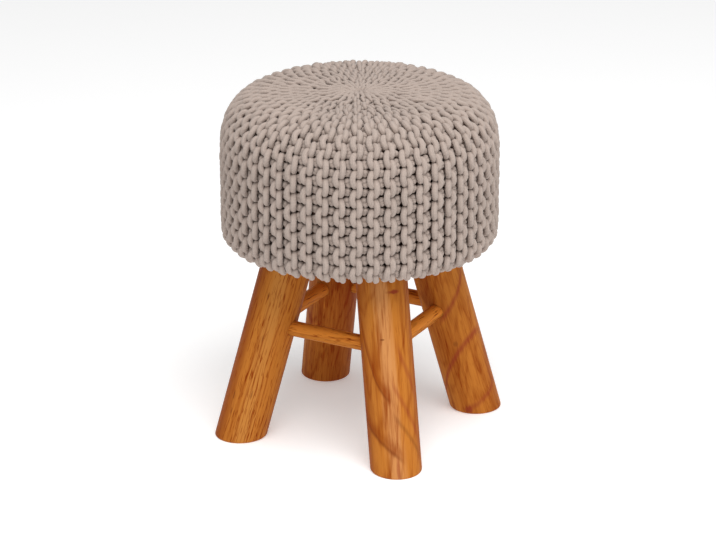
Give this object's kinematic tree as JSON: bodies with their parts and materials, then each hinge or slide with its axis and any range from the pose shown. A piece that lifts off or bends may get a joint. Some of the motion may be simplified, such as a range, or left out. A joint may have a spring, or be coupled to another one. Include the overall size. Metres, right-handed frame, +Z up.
{
  "type": "knitted pouf on wooden legs",
  "caption": "Round filled pouf in a thick cotton cord knit, standing on splayed round wooden legs joined by thin dowels, used as a low seat or footstool.",
  "frame": {"origin": "on the floor, below the middle of the seat", "axes": "+Z is up, the front is at -Y, and the legs stand on the diagonals between X and Y"},
  "size_m": [0.32, 0.32, 0.4115],
  "materials": {
    "cotton_cord": "matt, soft cotton cord in a thick garter knit",
    "varnished_wood": "warm orange-brown wood with a smooth, fairly glossy clear varnish"
  },
  "bodies": {
    "root": {"knitted_pouf": "cotton_cord", "leg_front_right": "varnished_wood", "leg_back_right": "varnished_wood", "leg_back_left": "varnished_wood", "leg_front_left": "varnished_wood", "stretcher_right": "varnished_wood", "stretcher_back": "varnished_wood", "stretcher_left": "varnished_wood", "stretcher_front": "varnished_wood"}
  },
  "joints": []
}
